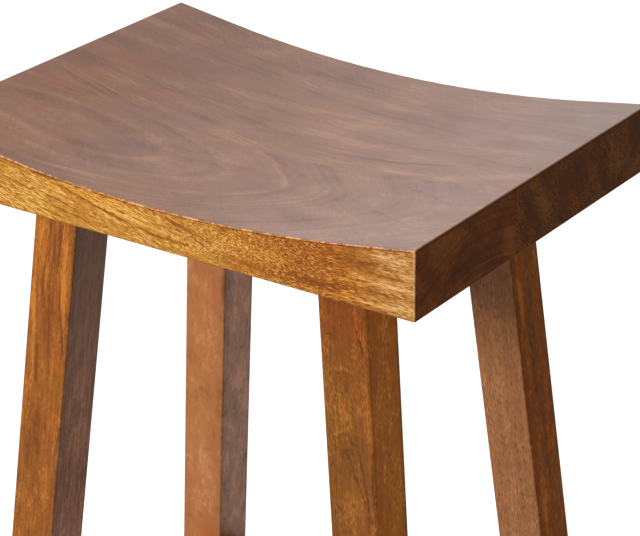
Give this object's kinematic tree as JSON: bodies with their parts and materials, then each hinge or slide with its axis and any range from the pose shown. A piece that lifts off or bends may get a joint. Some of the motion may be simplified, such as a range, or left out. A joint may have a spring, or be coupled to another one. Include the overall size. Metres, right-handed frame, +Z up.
{
  "type": "bar stool",
  "caption": "Backless wooden bar stool with a saddle seat dished along its length, on splayed square legs tied together by rails near the floor.",
  "frame": {"origin": "on the floor under the middle of the seat", "axes": "+Z up; +X along the seat's long side, to the right as seen from the front; -Y is the front long side and +Y the rear"},
  "size_m": [0.44, 0.322, 0.7597],
  "materials": {
    "seat_wood": "satin lacquer over brown-stained solid hardwood, grain along the seat's length",
    "leg_wood": "satin lacquer over brown-stained solid hardwood, grain along the leg",
    "rail_wood": "satin lacquer over brown-stained solid hardwood, grain along the rail",
    "dowel_wood": "plain hardwood dowel",
    "glide_plastic": "dark brown nylon",
    "nail_steel": "bright steel"
  },
  "bodies": {
    "root": {"seat_board_front": "seat_wood", "seat_board_front_middle": "seat_wood", "seat_board_rear_middle": "seat_wood", "seat_board_rear": "seat_wood", "seat_dowels_front": "dowel_wood", "seat_dowels_middle": "dowel_wood", "seat_dowels_rear": "dowel_wood", "leg_front_left": "leg_wood", "leg_front_right": "leg_wood", "leg_rear_left": "leg_wood", "leg_rear_right": "leg_wood", "foot_rail_front": "rail_wood", "foot_rail_rear": "rail_wood", "side_rail_left": "rail_wood", "side_rail_right": "rail_wood", "foot_rail_pin_front_left": "dowel_wood", "side_rail_pin_front_left": "dowel_wood", "foot_rail_pin_front_right": "dowel_wood", "side_rail_pin_front_right": "dowel_wood", "foot_rail_pin_rear_left": "dowel_wood", "side_rail_pin_rear_left": "dowel_wood", "foot_rail_pin_rear_right": "dowel_wood", "side_rail_pin_rear_right": "dowel_wood", "glide_front_left": "glide_plastic", "glide_nail_front_left": "nail_steel", "glide_front_right": "glide_plastic", "glide_nail_front_right": "nail_steel", "glide_rear_left": "glide_plastic", "glide_nail_rear_left": "nail_steel", "glide_rear_right": "glide_plastic", "glide_nail_rear_right": "nail_steel"}
  },
  "joints": []
}
